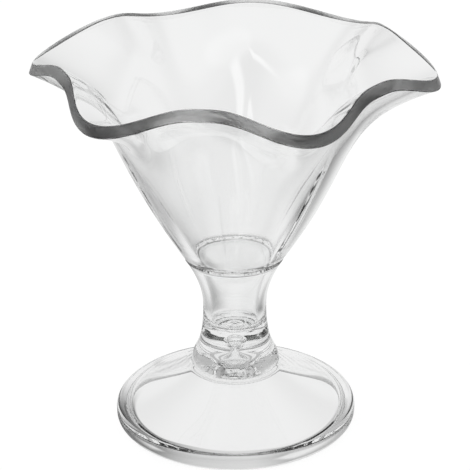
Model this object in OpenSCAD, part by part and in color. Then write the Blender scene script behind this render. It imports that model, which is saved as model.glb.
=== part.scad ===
// Sundae dish of clear moulded plastic: a fluted bowl with a waved lip, bonded to a waisted hollow
// stem, which is bonded to a hollow round foot. Millimetres, +Z up, origin under the middle of the foot.

/* [Lip] */
// Number of petals round the lip
petals = 6; // [4:1:9]
// Radius to the tip of a petal
petal_r = 65; // [60:0.5:70]
// Height of a petal's tip, at the lower edge of the lip
petal_h = 118.3; // [112:0.1:121]
// Tilt of the lip above level at a petal
petal_tilt = 20.5; // [10:0.5:28]
// Radius to the lip between two petals
valley_r = 56.4; // [52:0.2:58.4]
// Height of the lip between two petals, at its lower edge
valley_h = 124.8; // [122:0.1:130]
// Tilt of the lip above level between two petals
valley_tilt = 32.5; // [24:0.5:38]
// Thickness of the lip
lip_wall = 3.9; // [2.6:0.1:4.4]
// Rounding of the lip's two edges
lip_edge = 0.8; // [0.3:0.1:1.2]

/* [Bowl] */
// Thickness of the bowl's wall
bowl_wall = 3.6; // [2.6:0.1:4.2]
// Height of the bowl's floor inside
floor_h = 59.6; // [59:0.1:60.6]
// Radius of the flat of the floor
floor_r = 11.8; // [10:0.1:12.2]
// Steepness of a flute at the root of the bowl
petal_rise = 55; // [52:0.5:58]
// Steepness of the groove between two flutes at the root of the bowl
valley_rise = 60; // [58:0.5:62]
// Depth of the spigot that centres the bowl in the stem
bowl_spigot_h = 1.5; // [1:0.1:2.5]

/* [Stem] */
// Height of the joint between bowl and stem
seam_h = 58.5; // [56:0.5:60]
// Radius of the joint between bowl and stem
seam_r = 16.6; // [15.8:0.1:17.4]
// Height of the waist
waist_h = 40; // [38:0.5:42]
// Radius of the waist
waist_r = 10.4; // [9.6:0.1:11.5]
// Radius of the flange at the bottom
flange_r = 14.5; // [13.5:0.1:16]
// Rounding of the flange's bottom edge
flange_edge = 0.9; // [0.3:0.1:1.3]
// Thickness of the stem's wall round the well at the waist
stem_wall = 2.6; // [2:0.1:3.4]
// Radius of the well at its mouth
well_mouth_r = 12.6; // [11.6:0.1:13]
// Height of the well's floor
well_h = 32.8; // [32:0.1:34]
// Rounding between the well's floor and its side
well_edge = 3.6; // [2:0.1:4.2]
// Height of the dome in the middle of the well's floor
well_dome_h = 0.5; // [0.2:0.1:1.2]
// Radius of that dome at its foot
well_dome_r = 3; // [2.4:0.1:3.6]
// Height of the tip of the core recess
recess_h = 30.6; // [29:0.1:31.8]
// Largest radius of the core recess, under its tip
recess_tip_r = 2.3; // [1.4:0.1:2.6]
// Radius of the neck of the core recess
neck_r = 0.5; // [0.3:0.1:0.9]
// Height of that neck
neck_h = 24.6; // [23.5:0.1:26]
// Radius of the core recess at its mouth
recess_r = 4.4; // [2.4:0.1:5]
// Radius of the socket under the stem that takes the foot's boss
socket_r = 5.3; // [4.4:0.1:6.5]
// Depth of that socket
socket_h = 1.4; // [0.8:0.1:2.2]

/* [Foot] */
// Radius of the foot
foot_r = 40; // [38:0.5:44]
// Height of the foot's edge, where the top begins to rise
foot_edge_h = 5.4; // [4.6:0.1:6.4]
// Rounding of the foot's edge, above and below
foot_edge = 1.9; // [1:0.1:2.2]
// Height of the seat that the stem stands on
seat_h = 18.8; // [17.5:0.1:19.5]
// Thickness of the foot's wall
foot_wall = 3; // [2.2:0.1:3.6]
// Thickness of the foot under the stem
seat_wall = 2; // [1.6:0.1:2.2]
// Radius inside the standing ring
ring_r = 35.4; // [33:0.1:36.4]
// Height of the upright wall inside the standing ring
ring_h = 2; // [1.4:0.1:2.4]

/* [Joints] */
// Thickness of the cement in both joints
bond = 0.2; // [0.1:0.05:0.4]
// How far the cement stays back from the outside
bond_inset = 0.3; // [0.1:0.1:0.6]
// Clearance round the bowl's spigot and the foot's boss
spigot_gap = 0.15; // [0.1:0.05:0.3]
// Bevel of the two edges at the joint between bowl and stem
seam_edge = 0.7; // [0.3:0.1:0.9]

/* [Hidden] */
$fn = 96;

// Sampling of the bowl: steps across one petal, up the wall, round an edge and over the floor
petal_steps = 12;
wall_steps = 20;
edge_steps = 3;
floor_steps = 6;
// Sampling of the turned profiles
curve_steps = 10;

// Handles of the bowl's meridians, as shares of the line from the seam to the lip
petal_root_share = 0.559;
petal_lip_share = 0.458;
valley_root_share = 0.933;
valley_lip_share = 0.315;
// Share of the meridian where the wall begins to run into the floor
floor_start_share = 0.005;
// Sharpness of the flutes: the power of the cosine low in the bowl and at the lip
flute_root_power = 0.6;
flute_lip_power = 2.68;

// Bezier handles of the stem's outside, as shares of the run from the waist to each end
stem_upper_shares = [[0, 0], [0, 0.16], [0.02, 0.47], [1, 1]];
stem_lower_shares = [[0, 0], [0, 0.776], [1, 0.744], [1, 1]];
// Handles of the well's side, from the waist to the straight mouth that takes the bowl's spigot
well_side_shares = [[0, 0], [0, 0.16], [0.02, 0.5], [1, 1]];
// Handles of the core recess: its mouth up to the neck, the neck to the widest place, and that to the tip
recess_mouth_shares = [[0, 0], [0.2, 0.3], [1, 0.6], [1, 1]];
recess_swell_shares = [[0, 0], [0.7, 0.05], [1, 0.45], [1, 1]];
recess_tip_shares = [[0, 0], [0, 0.5], [0.55, 0.88], [1, 1]];
// Place of the recess's widest part, between its neck and its tip
recess_wide_share = 0.55;
// Handles of the foot's top, from the seat down to the edge
foot_top_shares = [[0, 0], [0.3, 0.36], [0.66, 0.77], [1, 1]];
// Roundings inside the foot, as a share of the height of the ring's wall
ring_edge_share = 0.3;

stem_top = seam_h - bond;
stem_base = seat_h + bond;
seat_r = flange_r;
boss_r = socket_r - spigot_gap;
boss_top = seat_h + socket_h;
socket_top = stem_base + socket_h;
bowl_spigot_r = well_mouth_r - spigot_gap;
well_mouth_h = seam_h - bowl_spigot_h - bond;
well_r = waist_r - stem_wall;

function bezier(p, t) =
    pow(1 - t, 3) * p[0] + 3 * pow(1 - t, 2) * t * p[1] + 3 * (1 - t) * t * t * p[2] + pow(t, 3) * p[3];
function slope(p, t) =
    pow(1 - t, 2) * (p[1] - p[0]) + 2 * (1 - t) * t * (p[2] - p[1]) + t * t * (p[3] - p[2]);
function curve(p, steps = curve_steps) = [for (i = [0 : steps]) bezier(p, i / steps)];
function stretch(a, b, shares) = [for (s = shares) [a.x + s.x * (b.x - a.x), a.y + s.y * (b.y - a.y)]];
function arc(c, r, from, to, steps = edge_steps) =
    [for (i = [0 : steps]) let (a = from + (to - from) * i / steps) c + r * [cos(a), sin(a)]];
function unit(v) = v / norm(v);

// Outside of the bowl on one meridian, from the seam to where the lip's edge begins to round
function meridian(end_r, end_h, rise, tilt, root_share, lip_share) =
    let (root = [seam_r, seam_h],
         lip = [end_r, end_h] - lip_edge * [cos(tilt), sin(tilt)],
         reach = norm(lip - root))
    [root,
     root + root_share * reach * [cos(rise), sin(rise)],
     lip - lip_share * reach * [cos(tilt), sin(tilt)],
     lip];

petal_line = meridian(petal_r, petal_h, petal_rise, petal_tilt, petal_root_share, petal_lip_share);
valley_line = meridian(valley_r, valley_h, valley_rise, valley_tilt, valley_root_share, valley_lip_share);

// How far a meridian is towards a petal: 1 on its middle, 0 in the groove, softer towards the lip
function petal_part(a, t) =
    pow(abs(cos(a * petals / 2)), flute_root_power + (flute_lip_power - flute_root_power) * t * t);
function outside(a, t) =
    let (w = petal_part(a, t)) w * bezier(petal_line, t) + (1 - w) * bezier(valley_line, t);
function along(a, t) =
    let (w = petal_part(a, t)) unit(w * slope(petal_line, t) + (1 - w) * slope(valley_line, t));
function inward(d) = [-d.y, d.x];
function wall_at(t) = bowl_wall + (lip_wall - bowl_wall) * pow(t, 3);
function inside(a, t) = outside(a, t) + wall_at(t) * inward(along(a, t));

// The squared lip: a rounded edge below, a flat end and a rounded edge above
function lip(a) =
    let (d = along(a, 1), n = inward(d), low = outside(a, 1) + lip_edge * n,
         high = outside(a, 1) + (lip_wall - lip_edge) * n, turn = atan2(d.y, d.x))
    concat(arc(low, lip_edge, turn - 90, turn), arc(high, lip_edge, turn, turn + 90));

// The wall runs into the flat floor in one sweep
function floor_sweep(a) =
    let (top = inside(a, floor_start_share), d = along(a, floor_start_share),
         corner = top + d * (floor_h - top.y) / d.y, flat = [floor_r, floor_h])
    [for (i = [0 : floor_steps]) let (t = i / floor_steps)
        pow(1 - t, 2) * top + 2 * (1 - t) * t * corner + t * t * flat];

// Part of a meridian that the bevel at the joint takes away
seam_part = seam_edge / norm(3 * slope(petal_line, 0));

// One closed half section of the bowl, from the spigot's bottom edge to the edge of the floor's flat
function bowl_section(a) = concat(
    [[bowl_spigot_r, seam_h - bowl_spigot_h], [bowl_spigot_r, seam_h], [seam_r - seam_edge, seam_h]],
    [outside(a, seam_part)],
    [for (i = [1 : wall_steps - 1]) outside(a, i / wall_steps)],
    lip(a),
    [for (i = [wall_steps - 1 : -1 : 1]) if (i / wall_steps > floor_start_share) inside(a, i / wall_steps)],
    floor_sweep(a));

module bowl() {
    turns = petals * petal_steps;
    sections = [for (i = [0 : turns - 1]) bowl_section(i * 360 / turns)];
    n = len(sections[0]);
    below = turns * n;
    above = below + 1;
    points = concat(
        [for (i = [0 : turns - 1]) for (p = sections[i])
            [p.x * cos(i * 360 / turns), p.x * sin(i * 360 / turns), p.y]],
        [[0, 0, seam_h - bowl_spigot_h], [0, 0, floor_h]]);
    faces = [for (i = [0 : turns - 1]) let (a = i * n, b = (i + 1) % turns * n) each concat(
        [for (k = [0 : n - 2]) each [[a + k, a + k + 1, b + k + 1], [a + k, b + k + 1, b + k]]],
        [[below, a, b], [above, b + n - 1, a + n - 1]])];
    color("gainsboro", 0.5) polyhedron(points, faces);
}

// A flat ring of cement
module bond_ring(outer_r, inner_r, z) {
    color("white", 0.5) translate([0, 0, z]) rotate_extrude()
        translate([inner_r, 0]) square([outer_r - inner_r, bond]);
}

module bowl_bond() bond_ring(seam_r - seam_edge - bond_inset, well_mouth_r, stem_top);

module foot_bond() bond_ring(flange_r - flange_edge - bond_inset, socket_r, seat_h);

module stem() {
    waist = [waist_r, waist_h];
    upper = stretch(waist, [seam_r, stem_top], stem_upper_shares);
    lower = stretch(waist, [flange_r, stem_base + flange_edge], stem_lower_shares);
    side = stretch([well_r, waist_h], [well_mouth_r, well_mouth_h], well_side_shares);
    wide_h = neck_h + recess_wide_share * (recess_h - neck_h);
    mouth = stretch([recess_r, socket_top], [neck_r, neck_h], recess_mouth_shares);
    swell = stretch([neck_r, neck_h], [recess_tip_r, wide_h], recess_swell_shares);
    tip = stretch([recess_tip_r, wide_h], [0, recess_h], recess_tip_shares);
    color("gainsboro", 0.5) rotate_extrude() polygon(concat(
        // Socket for the foot's boss, and the core recess from its mouth to its tip
        [[socket_r, stem_base], [socket_r, socket_top]],
        curve(mouth),
        [for (i = [1 : curve_steps]) bezier(swell, i / curve_steps)],
        [for (i = [1 : curve_steps]) bezier(tip, i / curve_steps)],
        // Dome, floor and side of the well
        [for (i = [0 : curve_steps]) let (a = 90 - 90 * i / curve_steps)
            [well_dome_r * cos(a), well_h + well_dome_h * sin(a)]],
        arc([well_r - well_edge, well_h + well_edge], well_edge, -90, 0, curve_steps),
        curve(side),
        [[well_mouth_r, stem_top]],
        // Rim under the bowl with its bevel, and the waisted outside
        [[seam_r - seam_edge, stem_top], bezier(upper, 1 - seam_edge / norm(3 * slope(upper, 1)))],
        [for (i = [curve_steps - 1 : -1 : 0]) bezier(upper, i / curve_steps)],
        [for (i = [1 : curve_steps - 1]) bezier(lower, i / curve_steps)],
        arc([flange_r - flange_edge, stem_base + flange_edge], flange_edge, 0, -90)));
}

module foot() {
    top = stretch([seat_r, seat_h], [foot_r - foot_edge, foot_edge_h], foot_top_shares);
    ring_edge = ring_edge_share * ring_h;
    under = stretch([ring_r - ring_edge, ring_h], [seat_r, seat_h - foot_wall],
        [for (s = [3 : -1 : 0]) [1, 1] - foot_top_shares[s]]);
    // The underside keeps its slope under the stem, up to the flat below the seat
    rise = under[3] - under[2];
    hollow = under[3] + rise * (foot_wall - seat_wall) / rise.y;
    color("gainsboro", 0.5) rotate_extrude() polygon(concat(
        // Boss in the stem's socket, top, rounded edge, standing ring and underside
        [[0, seat_h - seat_wall], [0, boss_top], [boss_r, boss_top], [boss_r, seat_h]],
        curve(top),
        arc([foot_r - foot_edge, foot_edge_h - foot_edge], foot_edge, 90, 0),
        arc([foot_r - foot_edge, foot_edge], foot_edge, 0, -90),
        [[ring_r + ring_edge, 0], [ring_r, ring_edge]],
        curve(under), [hollow]));
}

bowl();
bowl_bond();
stem();
foot_bond();
foot();
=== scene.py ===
import math
import bmesh
import bpy
import numpy as np
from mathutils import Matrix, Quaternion, Vector


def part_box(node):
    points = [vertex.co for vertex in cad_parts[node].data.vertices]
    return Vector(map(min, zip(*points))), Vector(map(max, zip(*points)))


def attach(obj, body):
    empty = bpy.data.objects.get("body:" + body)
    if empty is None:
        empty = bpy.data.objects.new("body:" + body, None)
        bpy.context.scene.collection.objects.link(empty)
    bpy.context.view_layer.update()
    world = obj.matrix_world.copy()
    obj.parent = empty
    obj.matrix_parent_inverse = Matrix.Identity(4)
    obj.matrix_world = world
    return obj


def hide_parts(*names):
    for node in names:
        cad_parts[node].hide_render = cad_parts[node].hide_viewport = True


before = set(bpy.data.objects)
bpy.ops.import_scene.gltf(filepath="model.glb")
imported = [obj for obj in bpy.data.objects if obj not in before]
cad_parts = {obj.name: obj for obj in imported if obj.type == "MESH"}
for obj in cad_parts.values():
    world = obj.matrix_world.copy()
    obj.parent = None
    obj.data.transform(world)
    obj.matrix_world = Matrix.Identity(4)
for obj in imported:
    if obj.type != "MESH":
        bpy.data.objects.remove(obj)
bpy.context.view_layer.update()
scene = bpy.context.scene

# Foot: a shallow hollow cone on a standing ring, moulded in one shot of clear hard plastic.
# A low boss in the middle of its seat centres the stem, and the mould leaves a faint ripple
# and a haze of fine scuffs from washing and stacking.
foot_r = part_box("foot")[1].x
foot_bond_low, foot_bond_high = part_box("foot_bond")
seat_h = foot_bond_low.z
boss_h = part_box("foot")[1].z
boss_r = 0.00515
flange_r = 0.0145
foot_edge = 0.0019
foot_edge_h = 0.0054
foot_wall = 0.003
seat_wall = 0.002
ring_r = 0.0354
ring_draft = 0.0002
ring_fillet = 0.002
ring_edge = 0.0003
ring_corner_lead = 0.6
ring_corner_steps = 14
crease_angle = math.radians(35)
foot_top_shares = [(0, 0), (0.3, 0.36), (0.66, 0.77), (1, 1)]
plastic_ior = 1.58
curve_steps = 40
edge_steps = 8
turn_steps = 240


def on_curve(p, t):
    """A point of a cubic curve with the handles p. It starts at t = 0 and ends at t = 1."""
    return (1 - t) ** 3 * p[0] + 3 * (1 - t) ** 2 * t * p[1] + 3 * (1 - t) * t**2 * p[2] + t**3 * p[3]


def bezier(points, steps=curve_steps):
    """Points along a cubic curve, ends included."""
    return on_curve(np.array(points, float), np.linspace(0, 1, steps + 1)[:, None])


def stretch(start, end, shares):
    """Shares of the way from start to end, across and up, as points."""
    start = np.array(start, float)
    end = np.array(end, float)
    return [start + np.array(share) * (end - start) for share in shares]


def arc(centre, radius, first, last, steps=edge_steps):
    """Points along a round edge, angles in degrees."""
    a = np.radians(np.linspace(first, last, steps + 1))
    return np.array(centre) + radius * np.stack([np.cos(a), np.sin(a)], axis=1)


def skin(name, sections, loop):
    """A closed mesh over half sections set round the axis.

    A section that isn't a loop starts and ends on the axis.
    """
    turns, count = sections.shape[:2]
    if loop:
        points = sections.reshape(-1, 3)
        index = np.arange(turns * count).reshape(turns, count)
        index = np.concatenate([index, index[:, :1]], axis=1)
    else:
        inner = sections[:, 1:-1].reshape(-1, 3)
        points = np.vstack([inner, sections[0, 0], sections[0, -1]])
        index = np.arange(len(inner)).reshape(turns, count - 2)
        first = np.full((turns, 1), len(inner))
        index = np.concatenate([first, index, first + 1], axis=1)
    index = np.concatenate([index, index[:1]], axis=0)
    faces = []
    for i in range(turns):
        for k in range(index.shape[1] - 1):
            corners = [index[i, k], index[i + 1, k], index[i + 1, k + 1], index[i, k + 1]]
            faces.append(list(dict.fromkeys(int(c) for c in corners)))
    mesh = bpy.data.meshes.new(name)
    mesh.from_pydata(points.tolist(), [], faces)
    work = bmesh.new()
    work.from_mesh(mesh)
    bmesh.ops.recalc_face_normals(work, faces=work.faces)
    work.to_mesh(mesh)
    work.free()
    mesh.shade_smooth()
    mesh.set_sharp_from_angle(angle=crease_angle)
    piece = bpy.data.objects.new(name, mesh)
    scene.collection.objects.link(piece)
    return piece


def turned(name, outline):
    """A mesh turned from one half section of radius and height, from axis to axis."""
    outline = np.vstack(outline)
    a = np.linspace(0, 2 * math.pi, turn_steps, endpoint=False)[:, None]
    x = outline[:, 0] * np.cos(a)
    y = outline[:, 0] * np.sin(a)
    z = np.broadcast_to(outline[:, 1], x.shape)
    return skin(name, np.stack([x, y, z], axis=2), loop=False)


foot_top = stretch((flange_r, seat_h), (foot_r - foot_edge, foot_edge_h), foot_top_shares)
even_under = bezier(foot_top) - (0, foot_wall)
foot_under = even_under[even_under[:, 0] < ring_r - ring_draft - ring_fillet]
under_rise = foot_under[0] - foot_under[1]
hollow_edge = foot_under[0] + under_rise * (foot_wall - seat_wall) / under_rise[1]
under_end = foot_under[-1]
under_fall = under_end - foot_under[-2]
ring_top = np.array((ring_r - ring_draft, under_end[1] - ring_fillet))
ring_corner = bezier([
    under_end,
    under_end + under_fall / under_fall[0] * ring_fillet * ring_corner_lead,
    ring_top + (0, ring_fillet * (1 - ring_corner_lead)),
    ring_top,
], ring_corner_steps)
foot = turned("foot_moulding", [
    [(0, boss_h), (boss_r, boss_h), (boss_r, seat_h), (foot_bond_high.x, seat_h)],
    bezier(foot_top),
    arc((foot_r - foot_edge, foot_edge_h - foot_edge), foot_edge, 90, 0),
    arc((foot_r - foot_edge, foot_edge), foot_edge, 0, -90),
    arc((ring_r + ring_edge, ring_edge), ring_edge, -90, -180),
    ring_corner[::-1],
    foot_under[-2::-1],
    [hollow_edge, (0, seat_h - seat_wall)],
])


def add_node(tree, kind, settings=None, values=None):
    """A shader node with its settings, its plain values and its links."""
    made = tree.nodes.new(kind)
    for key, value in (settings or {}).items():
        setattr(made, key, value)
    for key, value in (values or {}).items():
        if isinstance(value, bpy.types.NodeSocket):
            tree.links.new(value, made.inputs[key])
        else:
            made.inputs[key].default_value = value
    return made


def new_group(name, inputs, outputs):
    """A shader node group with named sockets, and its two end nodes."""
    group = bpy.data.node_groups.new(name, "ShaderNodeTree")
    for label, value in inputs.items():
        socket = group.interface.new_socket(label, in_out="INPUT", socket_type="NodeSocketFloat")
        socket.default_value = value
    for label, kind in outputs.items():
        group.interface.new_socket(label, in_out="OUTPUT", socket_type=kind)
    return group, group.nodes.new("NodeGroupInput"), group.nodes.new("NodeGroupOutput")


moulded_skin, skin_in, skin_out = new_group(
    "moulded skin",
    {"Ripple Scale": 60, "Scuff Scale": 700, "Haze": 0.01, "Satin": 0, "Painted Shade": 1},
    {"Tint": "NodeSocketColor", "Roughness": "NodeSocketFloat", "Height": "NodeSocketFloat"},
)
spot = add_node(moulded_skin, "ShaderNodeTexCoord").outputs["Object"]
ripple = add_node(moulded_skin, "ShaderNodeTexNoise", values={
    "Vector": spot, "Scale": skin_in.outputs["Ripple Scale"], "Detail": 1.5, "Roughness": 0.4,
})
scuff = add_node(moulded_skin, "ShaderNodeTexNoise", values={
    "Vector": spot, "Scale": skin_in.outputs["Scuff Scale"], "Detail": 4, "Roughness": 0.65,
})
scuffed = add_node(moulded_skin, "ShaderNodeMapRange", values={
    "Value": scuff.outputs["Fac"], "From Min": 0.5, "From Max": 0.75, "To Min": 0, "To Max": 1,
})
dulled = add_node(moulded_skin, "ShaderNodeMath", {"operation": "MULTIPLY_ADD"}, {
    0: scuffed.outputs["Result"], 1: skin_in.outputs["Haze"], 2: skin_in.outputs["Satin"],
})
tint = add_node(moulded_skin, "ShaderNodeValToRGB", values={"Fac": ripple.outputs["Fac"]})
tint.color_ramp.elements[0].color = (0.978, 0.982, 0.981, 1)
tint.color_ramp.elements[1].color = (0.992, 0.994, 0.993, 1)
# The shade input scales the tint down: painted shade.
shaded = add_node(moulded_skin, "ShaderNodeVectorMath", {"operation": "SCALE"}, {
    0: tint.outputs["Color"], "Scale": skin_in.outputs["Painted Shade"],
})
moulded_skin.links.new(shaded.outputs["Vector"], skin_out.inputs["Tint"])
moulded_skin.links.new(dulled.outputs["Value"], skin_out.inputs["Roughness"])
moulded_skin.links.new(ripple.outputs["Fac"], skin_out.inputs["Height"])


def clear_plastic(name, ripple_scale, ripple_depth, scuff_scale, haze, satin=0, painted_shade=1):
    """Clear hard plastic as it leaves the mould, with a faint ripple and fine scuffs, and its tint
    darkened by a factor below 1 as painted shade.
    """
    material = bpy.data.materials.new(name)
    material.use_nodes = True
    tree = material.node_tree
    shader = tree.nodes["Principled BSDF"]
    shader.inputs["IOR"].default_value = plastic_ior
    shader.inputs["Transmission Weight"].default_value = 1
    finish = add_node(tree, "ShaderNodeGroup", {"node_tree": moulded_skin}, {
        "Ripple Scale": ripple_scale,
        "Scuff Scale": scuff_scale,
        "Haze": haze,
        "Satin": satin,
        "Painted Shade": painted_shade,
    })
    bump = add_node(tree, "ShaderNodeBump", values={
        "Strength": 1, "Distance": ripple_depth, "Height": finish.outputs["Height"],
    })
    tree.links.new(finish.outputs["Tint"], shader.inputs["Base Color"])
    tree.links.new(finish.outputs["Roughness"], shader.inputs["Roughness"])
    tree.links.new(bump.outputs["Normal"], shader.inputs["Normal"])
    return material


foot.data.materials.append(clear_plastic(
    "foot clear plastic", ripple_scale=45, ripple_depth=0.00003, scuff_scale=900, haze=0.05
))
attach(foot, "root")
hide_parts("foot")

# Foot cement: a thin ring of clear cement that holds the stem on the foot.
# It was pressed out from a bead and wets both faces, so it hardly shows but for the air pockets
# that it left near its lobed edge. These pockets are coloured dark grey as painted shade along the joint.
hair_gap = 0.00004
nearly_level = 0.99
cement_seed = 7
least_lobe = 0.3
socket_r = 0.0053


def pressed_ring(name, inner_r, outer_r, low_h, high_h, lobe_depth, lobe_count):
    """A flat ring whose outer edge runs out in uneven lobes, a hair clear of its two neighbours."""
    chance = np.random.default_rng(cement_seed + lobe_count)
    turn = np.linspace(0, 2 * math.pi, turn_steps * 2, endpoint=False)
    lobes = np.zeros_like(turn)
    for k in range(lobe_count // 2, lobe_count * 3):
        lobes += np.cos(k * turn + chance.uniform(0, 2 * math.pi)) * chance.uniform(least_lobe, 1)
    lobes = (lobes - lobes.min()) / (lobes.max() - lobes.min())
    edge = outer_r - lobe_depth * lobes
    low = low_h + hair_gap
    high = high_h - hair_gap
    sections = []
    for a, r in zip(turn, edge):
        line = [(inner_r, low), (r, low), (r, high), (inner_r, high)]
        sections.append([(q * math.cos(a), q * math.sin(a), h) for q, h in line])
    return skin(name, np.array(sections), loop=True)


foot_cement = pressed_ring(
    "foot_cement", socket_r, foot_bond_high.x, foot_bond_low.z, foot_bond_high.z,
    lobe_depth=0.0006, lobe_count=22,
)
pressed_cement, cement_in, cement_out = new_group(
    "pressed cement",
    {"Pocket Scale": 500, "Edge Radius": 0.015, "Edge Width": 0.001},
    {"Tint": "NodeSocketColor", "Roughness": "NodeSocketFloat", "Air": "NodeSocketFloat"},
)
spot = add_node(pressed_cement, "ShaderNodeTexCoord").outputs["Object"]
flat = add_node(pressed_cement, "ShaderNodeVectorMath", {"operation": "MULTIPLY"}, {
    0: spot, 1: (1, 1, 0),
}).outputs["Vector"]
from_axis = add_node(pressed_cement, "ShaderNodeVectorMath", {"operation": "LENGTH"}, {0: flat})
back_in = add_node(pressed_cement, "ShaderNodeMath", {"operation": "SUBTRACT"}, {
    0: cement_in.outputs["Edge Radius"], 1: from_axis.outputs["Value"],
})
near_edge = add_node(pressed_cement, "ShaderNodeMapRange", values={
    "Value": back_in.outputs["Value"], "From Min": 0, "From Max": cement_in.outputs["Edge Width"],
    "To Min": 0.3, "To Max": 0,
})
patch = add_node(pressed_cement, "ShaderNodeTexNoise", values={
    "Vector": flat, "Scale": cement_in.outputs["Pocket Scale"], "Detail": 2, "Roughness": 0.5,
})
patchy = add_node(pressed_cement, "ShaderNodeMath", {"operation": "ADD"}, {
    0: patch.outputs["Fac"], 1: near_edge.outputs["Result"],
})
air = add_node(pressed_cement, "ShaderNodeMapRange", values={
    "Value": patchy.outputs["Value"], "From Min": 0.61, "From Max": 0.62, "To Min": 0, "To Max": 1,
})
# The pockets' colour is painted shade: dark grey standing in for the shade along the joint.
pocket_painted_shade = add_node(pressed_cement, "ShaderNodeValToRGB", values={"Fac": patch.outputs["Fac"]})
pocket_painted_shade.color_ramp.elements[0].position = 0.35
pocket_painted_shade.color_ramp.elements[0].color = (0.8, 0.805, 0.8, 1)
pocket_painted_shade.color_ramp.elements[1].position = 0.6
pocket_painted_shade.color_ramp.elements[1].color = (0.2, 0.204, 0.2, 1)
rough = add_node(pressed_cement, "ShaderNodeMapRange", values={
    "Value": patch.outputs["Fac"], "To Min": 0.02, "To Max": 0.2,
})
pressed_cement.links.new(pocket_painted_shade.outputs["Color"], cement_out.inputs["Tint"])
pressed_cement.links.new(rough.outputs["Result"], cement_out.inputs["Roughness"])
pressed_cement.links.new(air.outputs["Result"], cement_out.inputs["Air"])


def clear_cement(name, pocket_scale, edge_r, edge_width):
    """Cured clear cement: unseen where it wets the plastic, and darkened with painted shade where it left
    air.
    """
    material = bpy.data.materials.new(name)
    material.use_nodes = True
    tree = material.node_tree
    shader = tree.nodes["Principled BSDF"]
    shader.inputs["IOR"].default_value = plastic_ior
    shader.inputs["Transmission Weight"].default_value = 1
    pockets = add_node(tree, "ShaderNodeGroup", {"node_tree": pressed_cement}, {
        "Pocket Scale": pocket_scale, "Edge Radius": edge_r, "Edge Width": edge_width,
    })
    tree.links.new(pockets.outputs["Tint"], shader.inputs["Base Color"])
    tree.links.new(pockets.outputs["Roughness"], shader.inputs["Roughness"])
    tree.links.new(pockets.outputs["Air"], shader.inputs["Alpha"])
    return material


def wet(piece, height, inner_r, outer_r, material):
    """Gives the level faces that the cement touches the look of the cement."""
    piece.data.materials.append(material)
    for face in piece.data.polygons:
        reach = math.hypot(face.center.x, face.center.y)
        is_level = abs(face.center.z - height) < hair_gap and abs(face.normal.z) > nearly_level
        if is_level and inner_r < reach < outer_r:
            face.material_index = len(piece.data.materials) - 1


foot_joint = clear_cement("foot cement", pocket_scale=520, edge_r=foot_bond_high.x, edge_width=0.0035)
foot_cement.data.materials.append(foot_joint)
wet(foot, seat_h, boss_r, foot_bond_high.x, foot_joint)
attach(foot_cement, "root")
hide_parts("foot_bond")

# Stem: a waisted tube with a closed lower end, moulded in clear plastic round two cores.
# The upper core leaves the wide well, and the lower one an egg-shaped recess on a fine neck.
# A socket underneath takes the foot's boss, and the bevelled rim on top carries the bowl.
stem_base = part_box("stem")[0].z
stem_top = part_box("stem")[1].z
bowl_bond_low, bowl_bond_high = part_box("bowl_bond")
flange_edge = 0.0009
seam_r = 0.0166
seam_edge = 0.0007
waist_r = 0.0104
waist_h = 0.040
stem_wall = 0.0026
well_mouth_r = 0.0126
well_mouth_h = 0.0568
well_r = waist_r - stem_wall
well_h = 0.0328
well_edge = 0.0036
well_dome_r = 0.003
well_dome_h = 0.0005
recess_r = 0.0044
recess_h = 0.0306
recess_tip_r = 0.0023
neck_r = 0.0005
neck_h = 0.0246
socket_depth = 0.0014
socket_top = stem_base + socket_depth
recess_wide_share = 0.55
recess_wide_h = neck_h + recess_wide_share * (recess_h - neck_h)
round_steps = 20
fine_steps = 200
fine_stride = 4
stem_upper_shares = [(0, 0), (0, 0.16), (0.02, 0.47), (1, 1)]
stem_lower_shares = [(0, 0), (0, 0.776), (1, 0.744), (1, 1)]
well_side_shares = [(0, 0), (0, 0.16), (0.02, 0.5), (1, 1)]
recess_mouth_shares = [(0, 0), (0.2, 0.3), (1, 0.6), (1, 1)]
recess_swell_shares = [(0, 0), (0.7, 0.05), (1, 0.45), (1, 1)]
recess_tip_shares = [(0, 0), (0, 0.5), (0.55, 0.88), (1, 1)]
dome_turn = np.radians(np.linspace(90, 0, edge_steps * 2 + 1))
well_dome = np.stack([
    well_dome_r * np.cos(dome_turn),
    well_h + well_dome_h * np.sin(dome_turn),
], axis=1)
stem_upper = stretch((waist_r, waist_h), (seam_r, stem_top), stem_upper_shares)
stem_lower = stretch((waist_r, waist_h), (flange_r, stem_base + flange_edge), stem_lower_shares)
rim_reach = 3 * np.linalg.norm(stem_upper[3] - stem_upper[2])
upper_line = bezier(stem_upper, fine_steps)[: -int(fine_steps * seam_edge / rim_reach)]
stem = turned("stem_moulding", [
    well_dome,
    arc((well_r - well_edge, well_h + well_edge), well_edge, -90, 0, round_steps),
    bezier(stretch((well_r, waist_h), (well_mouth_r, well_mouth_h), well_side_shares)),
    [(well_mouth_r, stem_top), (bowl_bond_high.x, stem_top), (seam_r - seam_edge, stem_top)],
    upper_line[::-fine_stride],
    bezier(stem_lower)[1:-1],
    arc((flange_r - flange_edge, stem_base + flange_edge), flange_edge, 0, -90),
    [(foot_bond_high.x, stem_base), (socket_r, stem_base), (socket_r, socket_top)],
    bezier(stretch((recess_r, socket_top), (neck_r, neck_h), recess_mouth_shares), round_steps),
    bezier(stretch((neck_r, neck_h), (recess_tip_r, recess_wide_h), recess_swell_shares), round_steps)[1:],
    bezier(stretch((recess_tip_r, recess_wide_h), (0, recess_h), recess_tip_shares), round_steps)[1:],
])
stem.data.materials.append(clear_plastic(
    "stem clear plastic", ripple_scale=90, ripple_depth=0.00004, scuff_scale=1100, haze=0.04
))
wet(stem, stem_base, socket_r, foot_bond_high.x, foot_joint)
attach(stem, "root")
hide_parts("stem")
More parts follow.
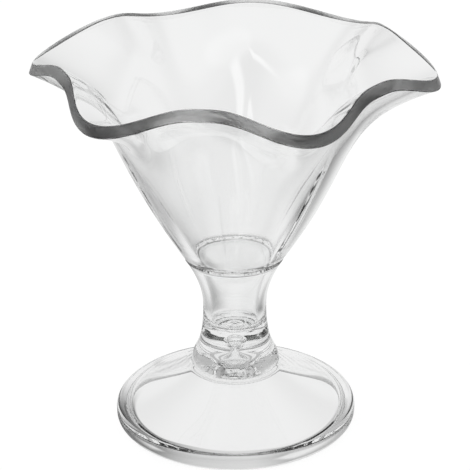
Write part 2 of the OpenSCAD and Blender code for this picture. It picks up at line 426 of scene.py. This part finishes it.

# Bowl cement: the thin ring of clear cement between the stem's rim and the bowl.
# It stops short of the two bevelled edges, which show as a flecked double line, and has the same
# pockets of air as the cement below, darkened the same way as painted shade.
bowl_cement = pressed_ring(
    "bowl_cement", well_mouth_r, bowl_bond_high.x, bowl_bond_low.z, bowl_bond_high.z,
    lobe_depth=0.0005, lobe_count=30,
)
bowl_joint = clear_cement("bowl cement", pocket_scale=600, edge_r=bowl_bond_high.x, edge_width=0.0012)
bowl_cement.data.materials.append(bowl_joint)
wet(stem, stem_top, well_mouth_r, bowl_bond_high.x, bowl_joint)
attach(bowl_cement, "root")
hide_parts("bowl_bond")

# Bowl: a tall cone of six shallow lobes with creases between them, moulded in clear plastic.
# It opens into a flared lip that waves from petal to petal, with a squared edge,
# and a short spigot under its floor centres it in the stem.
petals = 6
petal_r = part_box("bowl")[1].x
petal_h = 0.1183
petal_tilt = 20.5
petal_rise = 55
valley_r = 0.0562
valley_h = 0.12455
valley_tilt = 32.5
valley_rise = 60
lip_wall = 0.0039
lip_edge = 0.0003
bowl_wall = 0.0036
seam_h = bowl_bond_high.z
floor_h = 0.0596
floor_r = 0.0118
bowl_spigot_r = 0.01245
bowl_spigot_h = 0.0015
petal_root_share = 0.559
petal_lip_share = 0.458
valley_root_share = 0.933
valley_lip_share = 0.315
floor_start_share = 0.005
flute_root_power = 0.6
flute_lip_power = 2.68
spigot_points = 5
petal_steps = 56
wall_steps = 70
floor_steps = 24


def slope(degrees):
    """The way out and up at an angle to the level."""
    return np.array((math.cos(math.radians(degrees)), math.sin(math.radians(degrees))))


def meridian(end_r, end_h, rise, tilt, root_share, lip_share):
    """Handles of the bowl's outside on one meridian, from the seam to the lip."""
    root = np.array((seam_r, seam_h))
    lip = np.array((end_r, end_h)) - lip_edge * slope(tilt)
    reach = np.linalg.norm(lip - root)
    return np.array([
        root,
        root + root_share * reach * slope(rise),
        lip - lip_share * reach * slope(tilt),
        lip,
    ])


petal_line = meridian(petal_r, petal_h, petal_rise, petal_tilt, petal_root_share, petal_lip_share)
valley_line = meridian(valley_r, valley_h, valley_rise, valley_tilt, valley_root_share, valley_lip_share)


def heading(p, t):
    """The way that a cubic curve runs."""
    return (1 - t) ** 2 * (p[1] - p[0]) + 2 * (1 - t) * t * (p[2] - p[1]) + t**2 * (p[3] - p[2])


def petal_part(a, t):
    """1 on the middle of a petal, 0 in the crease, softer towards the lip."""
    power = flute_root_power + (flute_lip_power - flute_root_power) * t * t
    return abs(math.cos(a * petals / 2)) ** power


def outside(a, t):
    """A point on the bowl's outside."""
    w = petal_part(a, t)
    return w * on_curve(petal_line, t) + (1 - w) * on_curve(valley_line, t)


def along(a, t):
    """The way up the wall at a point."""
    w = petal_part(a, t)
    d = w * heading(petal_line, t) + (1 - w) * heading(valley_line, t)
    return d / np.linalg.norm(d)


def inside(a, t):
    """A point on the bowl's inside, across the wall."""
    d = along(a, t)
    thick = bowl_wall + (lip_wall - bowl_wall) * t**3
    return outside(a, t) + thick * np.array((-d[1], d[0]))


def bowl_section(a):
    """One half section of the bowl, from the axis under the spigot to the axis on the floor."""
    d = along(a, 1)
    n = np.array((-d[1], d[0]))
    turn = math.degrees(math.atan2(d[1], d[0]))
    low = outside(a, 1) + lip_edge * n
    high = outside(a, 1) + (lip_wall - lip_edge) * n
    seam_part = seam_edge / (3 * np.linalg.norm(petal_line[1] - petal_line[0]))
    t_up = np.linspace(seam_part, 1, wall_steps + 1)[:-1]
    t_down = np.linspace(1, floor_start_share, wall_steps)[1:-1]
    top = inside(a, floor_start_share)
    down = along(a, floor_start_share)
    corner = top + down * (floor_h - top[1]) / down[1]
    s = np.linspace(0, 1, floor_steps + 1)[:, None]
    sweep = (1 - s) ** 2 * top + 2 * (1 - s) * s * corner + s**2 * np.array((floor_r, floor_h))
    return np.vstack([
        [(0, seam_h - bowl_spigot_h), (bowl_spigot_r, seam_h - bowl_spigot_h), (bowl_spigot_r, seam_h)],
        [(bowl_bond_high.x, seam_h), (seam_r - seam_edge, seam_h)],
        [outside(a, t) for t in t_up],
        arc(low, lip_edge, turn - 90, turn),
        arc(high, lip_edge, turn, turn + 90),
        [inside(a, t) for t in t_down],
        sweep,
        [(0, floor_h)],
    ])


bowl_rows = []
for a in np.linspace(0, 2 * math.pi, petals * petal_steps, endpoint=False):
    section = bowl_section(a)
    out, up = section.T
    bowl_rows.append(np.stack([out * math.cos(a), out * math.sin(a), up], axis=1))
bowl = skin("bowl_moulding", np.array(bowl_rows), loop=False)
bowl.data.materials.append(clear_plastic(
    "bowl clear plastic", ripple_scale=40, ripple_depth=0.00003, scuff_scale=800, haze=0.04
))
wet(bowl, seam_h, bowl_spigot_r, bowl_bond_high.x, bowl_joint)
# The lip's squared edge is satin, and its tint is darkened to 0.7 as painted shade.
bowl.data.materials.append(clear_plastic(
    "lip satin plastic with painted shade", ripple_scale=60, ripple_depth=0.00003, scuff_scale=900, haze=0.15,
    satin=0.3, painted_shade=0.7,
))
lip_row = spigot_points + wall_steps + edge_steps
rows = len(bowl_section(0)) - 1
for face in bowl.data.polygons:
    if face.index % rows == lip_row:
        face.material_index = len(bowl.data.materials) - 1
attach(bowl, "root")
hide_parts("bowl")

# Floor and backdrop: white paper under and behind the dish, on a darker table that shows at both sides.
# The camera sees it plain white with the dish's shadow. The clear plastic shows its tones: the paper,
# the table, a darker ring close round the foot that is a painted contact shadow, and two soft lobes
# of painted shadow behind.
floor_reach = 2
floor_drop = 0.0001
paper_glow = 0.92
paper_colour = 0.16
behind_tone = 0.9
behind_span = (0.56, 0.96)
behind_lean_right = 0.14
behind_lean_left = -0.08
before_tone = 0.7
before_span = (-0.6, -1)
table_tone = 0.4
table_slant = -0.14
far_tone = 0.72
far_span = (0.6, 1.6)
under_tone = 0.87
# Tones and sizes of the painted contact shadow round the foot.
dark_side_tone = 0.34
dark_front_tone = 0.67
dark_front_span = (-0.75, -1)
dark_back_tone = 0.88
dark_back_span = (-0.3, 0.3)
dark_slant = 0.19
dark_start = (0.0332, 0.035)
dark_end = (0.06, 0.09)
dark_pull = 0.0036
dark_pull_span = (-0.75, -0.97)
# Sizes of the painted shadow of the bowl: two soft lobes on the paper behind.
shade_depth = 0.35
shade_back_span = (0.2, 0.5)
shade_turn_start = (0.2, 0.45)
shade_turn_end = (0.6, 0.8)
shade_start = (0.066, 0.08)
shade_end = (0.09, 0.11)
floor_corners = [
    (-floor_reach, -floor_reach, 0),
    (floor_reach, -floor_reach, 0),
    (floor_reach, floor_reach, 0),
    (-floor_reach, floor_reach, 0),
]
floor_mesh = bpy.data.meshes.new("floor")
floor_mesh.from_pydata(floor_corners, [], [(0, 1, 2, 3)])
floor = bpy.data.objects.new("floor", floor_mesh)
floor.location.z = -floor_drop
scene.collection.objects.link(floor)


def ramp(tree, value, span, first=0, last=1):
    """A smooth change from a first level to a last one as a value goes along a span."""
    return add_node(tree, "ShaderNodeMapRange", {"interpolation_type": "SMOOTHSTEP"}, {
        "Value": value, "From Min": span[0], "From Max": span[1], "To Min": first, "To Max": last,
    }).outputs["Result"]


def calc(tree, kind, *values):
    """The result of one sum on numbers or sockets."""
    return add_node(tree, "ShaderNodeMath", {"operation": kind}, dict(enumerate(values))).outputs["Value"]


def product(tree, first, *others):
    """Numbers or sockets multiplied together."""
    for other in others:
        first = calc(tree, "MULTIPLY", first, other)
    return first


def mixed(tree, share, low, high):
    """One tone blended into another, low at a share of 0 and high at 1."""
    return calc(tree, "MULTIPLY_ADD", share, calc(tree, "SUBTRACT", high, low), low)


paper = bpy.data.materials.new("white paper")
paper.use_nodes = True
tree = paper.node_tree
tree.nodes.remove(tree.nodes["Principled BSDF"])
place = add_node(tree, "ShaderNodeTexCoord").outputs["Object"]
across = add_node(tree, "ShaderNodeSeparateXYZ", values={0: place}).outputs
away = add_node(tree, "ShaderNodeVectorMath", {"operation": "LENGTH"}, {0: place}).outputs["Value"]
sideways = calc(tree, "DIVIDE", across["X"], away)
backwards = calc(tree, "DIVIDE", across["Y"], away)

lean_right = product(tree, sideways, behind_lean_right)
lean_left = product(tree, sideways, behind_lean_left)
lean = calc(tree, "MAXIMUM", lean_right, lean_left)
behind = ramp(tree, calc(tree, "SUBTRACT", backwards, lean), behind_span)
before = ramp(tree, backwards, before_span)
table = calc(tree, "MULTIPLY_ADD", sideways, table_slant, table_tone)
around = mixed(tree, before, mixed(tree, behind, table, behind_tone), before_tone)

# Painted contact shadow: a darker ring on the paper round the foot, seen only by the clear plastic.
dark_front = ramp(tree, backwards, dark_front_span, dark_side_tone, dark_front_tone)
dark_tone = calc(tree, "MULTIPLY_ADD", sideways, dark_slant, dark_front)
painted_contact_shadow = mixed(tree, ramp(tree, backwards, dark_back_span), dark_tone, dark_back_tone)
pulled = calc(tree, "ADD", away, ramp(tree, backwards, dark_pull_span, 0, dark_pull))
near = mixed(tree, ramp(tree, pulled, dark_start), under_tone, painted_contact_shadow)
spread = mixed(tree, ramp(tree, away, dark_end), near, around)

# Painted shadow of the bowl: two soft darker lobes on the paper behind, left and right of the middle.
off_middle = calc(tree, "ABSOLUTE", sideways)
painted_shade = product(
    tree,
    ramp(tree, off_middle, shade_turn_start),
    ramp(tree, off_middle, shade_turn_end, 1, 0),
    ramp(tree, away, shade_start),
    ramp(tree, away, shade_end, 1, 0),
    ramp(tree, backwards, shade_back_span, 0, shade_depth),
)
fading = ramp(tree, away, far_span, 1, far_tone)
level = product(tree, spread, fading, calc(tree, "SUBTRACT", 1, painted_shade))

path = add_node(tree, "ShaderNodeLightPath").outputs
clear_ray = calc(tree, "MAXIMUM", path["Is Transmission Ray"], path["Is Glossy Ray"])
bare = product(tree, path["Is Camera Ray"], paper_glow)
seen = calc(tree, "MULTIPLY_ADD", clear_ray, level, bare)
glow = add_node(tree, "ShaderNodeEmission", values={"Strength": seen}).outputs["Emission"]
lit = product(tree, path["Is Camera Ray"], paper_colour)
tone = add_node(tree, "ShaderNodeCombineColor", values={0: lit, 1: lit, 2: lit}).outputs["Color"]
sheet = add_node(tree, "ShaderNodeBsdfDiffuse", values={"Color": tone}).outputs["BSDF"]
both = add_node(tree, "ShaderNodeAddShader", values={0: sheet, 1: glow}).outputs["Shader"]
tree.links.new(both, tree.nodes["Material Output"].inputs["Surface"])
floor_mesh.materials.append(paper)

# Studio: a light tent of white cloth, bright low down and overhead, with a dark opening low in front
# where the camera stands. A leaning soft strip above the opening makes the pale streaks in the bowl,
# and a soft box high on the left fills the rest. The camera itself sees plain white.
cloth_low = 0.85
cloth_middle = 0.5
cloth_low_span = (0.3, 0.5)
cloth_overhead = 0.4
cloth_overhead_span = (0.6, 0.9)
opening_turn = 0.12
opening_front = (-0.55, 0.35)
opening_top = (0.35, 0.6)
strip_middle = 0.42
strip_lean = 1.4
strip_edge = (0.03, 0.1)
strip_front = (-0.2, -0.4)
strip_foot = (0.3, 0.4)
strip_top = (0.47, 0.6)
strip_glow = 1.2
box_toward = (-0.57, -0.57, 0.6)
box_edge = (0.85, 0.96)
box_glow = 0.35
tent = bpy.data.worlds.new("light tent")
tent.use_nodes = True
scene.world = tent
tree = tent.node_tree
toward = add_node(tree, "ShaderNodeTexCoord").outputs["Generated"]
way = add_node(tree, "ShaderNodeSeparateXYZ", values={0: toward}).outputs
low_cloth = ramp(tree, way["Z"], cloth_low_span, cloth_low, cloth_middle)
cloth = calc(tree, "ADD", low_cloth, ramp(tree, way["Z"], cloth_overhead_span, 0, cloth_overhead))
forward = calc(tree, "MULTIPLY_ADD", way["X"], opening_turn, way["Y"])
opening = product(tree, ramp(tree, forward, opening_front, 1, 0), ramp(tree, way["Z"], opening_top, 1, 0))
walls = product(tree, cloth, calc(tree, "SUBTRACT", 1, opening))
strip_up = calc(tree, "SUBTRACT", way["Z"], strip_middle)
strip_side = calc(tree, "MULTIPLY_ADD", strip_up, strip_lean, way["X"])
strip = product(
    tree,
    ramp(tree, calc(tree, "ABSOLUTE", strip_side), strip_edge, 1, 0),
    ramp(tree, way["Y"], strip_front),
    ramp(tree, way["Z"], strip_foot),
    ramp(tree, way["Z"], strip_top, 1, 0),
    strip_glow,
)
box_near = add_node(tree, "ShaderNodeVectorMath", {"operation": "DOT_PRODUCT"}, {0: toward, 1: box_toward})
box = ramp(tree, box_near.outputs["Value"], box_edge, 0, box_glow)
glowing = calc(tree, "ADD", walls, calc(tree, "ADD", strip, box))
camera_ray = add_node(tree, "ShaderNodeLightPath").outputs["Is Camera Ray"]
tent_light = tree.nodes["Background"].inputs
tent_light["Color"].default_value = (1, 1, 1, 1)
tree.links.new(calc(tree, "MAXIMUM", camera_ray, glowing), tent_light["Strength"])

# Camera: the photograph's angle, fitted to the rims of the lip and foot.
sensor_mm = 36
frame_px = 470
focal_px = 1803
camera_range = 0.5837
azimuth = math.radians(8.7)
elevation = math.radians(24.15)
roll = math.radians(-0.55)
target = Vector((0.0003, 0, 0.0648))
back = Vector((
    math.sin(azimuth) * math.cos(elevation),
    -math.cos(azimuth) * math.cos(elevation),
    math.sin(elevation),
))
lens = bpy.data.cameras.new("camera")
lens.sensor_width = sensor_mm
lens.lens = sensor_mm * focal_px / frame_px
camera = bpy.data.objects.new("camera", lens)
camera.location = target + back * camera_range
camera.rotation_mode = "QUATERNION"
camera.rotation_quaternion = (-back).to_track_quat("-Z", "Y") @ Quaternion((0, 0, 1), roll)
scene.collection.objects.link(camera)
scene.camera = camera
scene.view_settings.view_transform = "Standard"
scene.cycles.max_bounces = 24
scene.cycles.transmission_bounces = 24
scene.cycles.glossy_bounces = 12
scene.cycles.transparent_max_bounces = 64
